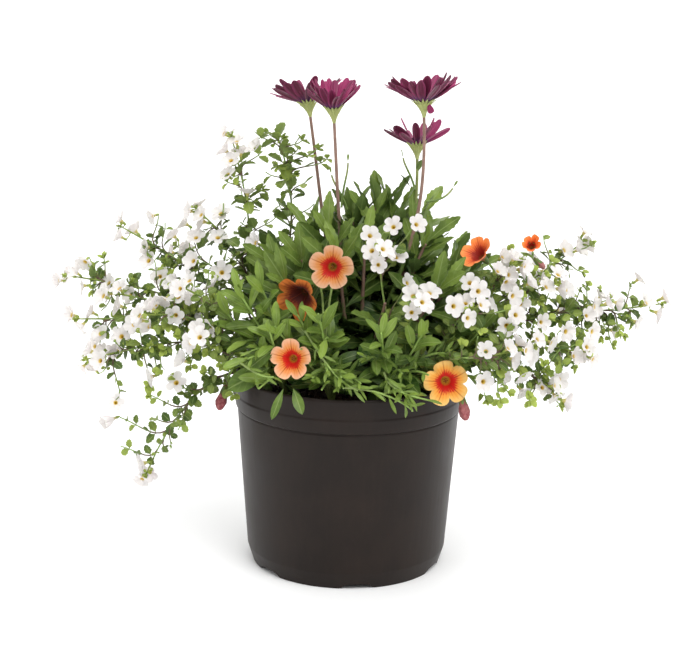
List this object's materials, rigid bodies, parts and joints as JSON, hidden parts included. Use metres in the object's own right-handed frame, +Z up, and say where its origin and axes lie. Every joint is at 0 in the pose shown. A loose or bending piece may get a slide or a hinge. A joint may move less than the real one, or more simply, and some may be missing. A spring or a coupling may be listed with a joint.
{
  "type": "planted patio pot",
  "caption": "Round nursery pot filled with potting mix and planted with African daisy, calibrachoa and trailing bacopa in flower.",
  "frame": {"origin": "middle of the pot's underside, on the surface it stands on", "axes": "+Z up, -Y towards the planting's front, +X to the front's right"},
  "size_m": [0.5408, 0.2952, 0.4378],
  "materials": {
    "pot": "satin black, softly blotched by blow moulding",
    "soil": "rough dark potting mix",
    "daisy_foliage": "matte green leaves with pale ribs, mauve-brown flower stalks",
    "daisy_rays": "satin, magenta above and maroon below",
    "daisy_disc": "matte dark purple florets",
    "calibrachoa_foliage": "matte light green, finely haired",
    "calibrachoa_bloom": "velvety apricot with a red eye and dark veins",
    "faded_bloom": "wilted, papery pink and maroon",
    "bacopa_foliage": "matte small toothed leaves, brown stems",
    "bacopa_flowers": "soft white with a yellow eye"
  },
  "bodies": {
    "root": {"daisy_rays_1": "daisy_rays", "daisy_disc_1": "daisy_disc", "daisy_rays_2": "daisy_rays", "daisy_disc_2": "daisy_disc", "daisy_rays_3": "daisy_rays", "daisy_disc_3": "daisy_disc", "daisy_rays_4": "daisy_rays", "daisy_disc_4": "daisy_disc", "calibrachoa_front_left_bloom_1": "calibrachoa_bloom", "calibrachoa_front_left_faded_bloom_2": "faded_bloom", "calibrachoa_front_bloom_1": "calibrachoa_bloom", "calibrachoa_front_bloom_2": "calibrachoa_bloom", "calibrachoa_front_right_bloom_1": "calibrachoa_bloom", "calibrachoa_front_right_faded_bloom_2": "faded_bloom", "calibrachoa_right_bloom_1": "calibrachoa_bloom", "calibrachoa_right_bloom_2": "calibrachoa_bloom", "calibrachoa_right_faded_bloom_3": "faded_bloom", "calibrachoa_back_bloom_1": "calibrachoa_bloom", "calibrachoa_back_bloom_2": "calibrachoa_bloom", "bacopa_left_high_flowers_1": "bacopa_flowers", "bacopa_left_high_flowers_3": "bacopa_flowers", "bacopa_left_high_flowers_4": "bacopa_flowers", "bacopa_left_high_flowers_5": "bacopa_flowers", "bacopa_left_flowers_1": "bacopa_flowers", "bacopa_left_flowers_2": "bacopa_flowers", "bacopa_left_flowers_3": "bacopa_flowers", "bacopa_left_flowers_4": "bacopa_flowers", "bacopa_left_low_flowers_1": "bacopa_flowers", "bacopa_left_low_flowers_2": "bacopa_flowers", "bacopa_left_low_flowers_3": "bacopa_flowers", "bacopa_left_low_flowers_4": "bacopa_flowers", "bacopa_left_low_flowers_5": "bacopa_flowers", "bacopa_right_high_flowers_1": "bacopa_flowers", "bacopa_right_high_flowers_2": "bacopa_flowers", "bacopa_right_high_flowers_3": "bacopa_flowers", "bacopa_right_high_flowers_4": "bacopa_flowers", "bacopa_right_high_flowers_5": "bacopa_flowers", "bacopa_right_flowers_1": "bacopa_flowers", "bacopa_right_flowers_2": "bacopa_flowers", "bacopa_right_flowers_3": "bacopa_flowers", "bacopa_right_flowers_4": "bacopa_flowers", "bacopa_right_flowers_5": "bacopa_flowers", "bacopa_right_flowers_6": "bacopa_flowers", "bacopa_right_low_flowers_1": "bacopa_flowers", "bacopa_right_low_flowers_2": "bacopa_flowers", "bacopa_right_low_flowers_3": "bacopa_flowers", "pot": "pot", "soil": "soil", "daisy_leafy_stems": "daisy_foliage", "calibrachoa_front_left_stems": "calibrachoa_foliage", "calibrachoa_front_stems": "calibrachoa_foliage", "calibrachoa_front_right_stems": "calibrachoa_foliage", "calibrachoa_right_stems": "calibrachoa_foliage", "calibrachoa_back_stems": "calibrachoa_foliage", "bacopa_left_high_stems": "bacopa_foliage", "bacopa_left_stems": "bacopa_foliage", "bacopa_left_low_stems": "bacopa_foliage", "bacopa_right_high_stems": "bacopa_foliage", "bacopa_right_stems": "bacopa_foliage", "bacopa_right_low_stems": "bacopa_foliage"}
  },
  "joints": []
}
